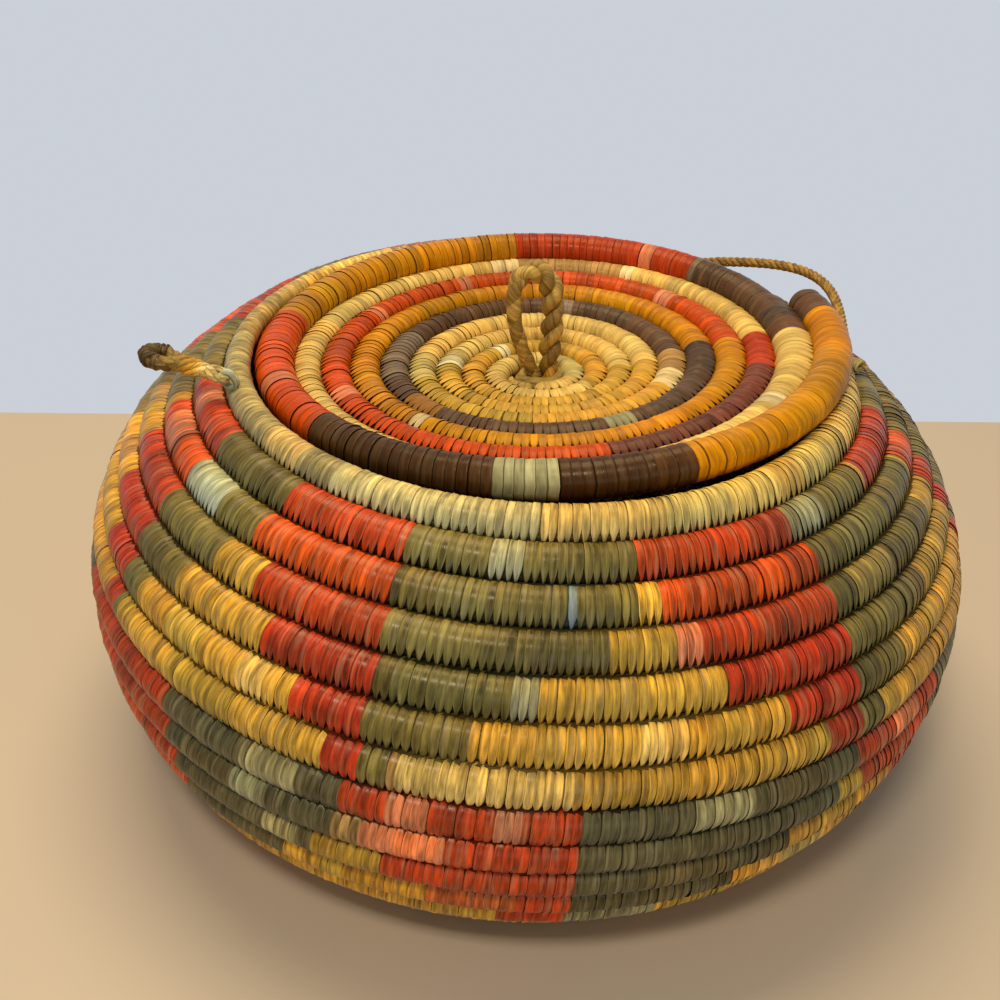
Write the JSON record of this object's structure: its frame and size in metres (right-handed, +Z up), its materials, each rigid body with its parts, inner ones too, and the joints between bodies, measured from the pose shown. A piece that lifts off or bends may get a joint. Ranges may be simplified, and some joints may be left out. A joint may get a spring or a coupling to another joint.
{
  "type": "lidded basket",
  "caption": "Round coiled and stitched raffia basket with a dished lift-off lid, a looped cord knob and small cord loops lashed to its rim.",
  "frame": {"origin": "centre of the flat base, on the surface that the basket stands on", "axes": "+Z up through the middle of the basket and its lid; -Y towards the side that the picture shows; +X to its right"},
  "size_m": [0.2408, 0.2408, 0.1387],
  "materials": {
    "raffia_body": "glossy dyed raffia ribbons stitched over a fibre bundle, in blocks of gold, red and olive",
    "raffia_lid": "glossy dyed raffia ribbons, in bands of dark brown, orange-red, yellow and cream",
    "raffia_cord": "twisted khaki raffia strands",
    "raffia_left_loop": "twisted dark olive-brown raffia strands",
    "raffia_yellow": "flat golden yellow raffia wrap",
    "raffia_right_loop": "twisted olive-brown and gold raffia strands"
  },
  "bodies": {
    "basket": {"body_coil": "raffia_body", "left_lashing": "raffia_left_loop", "right_lashing_front": "raffia_right_loop", "right_lashing_back": "raffia_right_loop"},
    "lid": {"lid_coil": "raffia_lid", "lid_knob_loop": "raffia_cord", "lid_knob_knot": "raffia_cord"},
    "left_rim_loop": {"left_loop": "raffia_left_loop", "left_loop_binding": "raffia_yellow"},
    "right_rim_loop": {"right_loop": "raffia_right_loop"}
  },
  "joints": [
    {"name": "lid_lift", "type": "slide", "parent": "basket", "child": "lid", "axis": [0, 0, 1], "range_m": [0, 0.15]},
    {"name": "left_loop_swing", "type": "hinge", "parent": "basket", "child": "left_rim_loop", "pos_m": [-0.07728, -0.02967, 0.11746], "axis": [0.0698, 0.9976, 0], "range_deg": [-35, 65]},
    {"name": "right_loop_swing", "type": "hinge", "parent": "basket", "child": "right_rim_loop", "pos_m": [0.08848, 0.00619, 0.11152], "axis": [0.5346, -0.845, 0.0109], "range_deg": [-25, 20]}
  ]
}
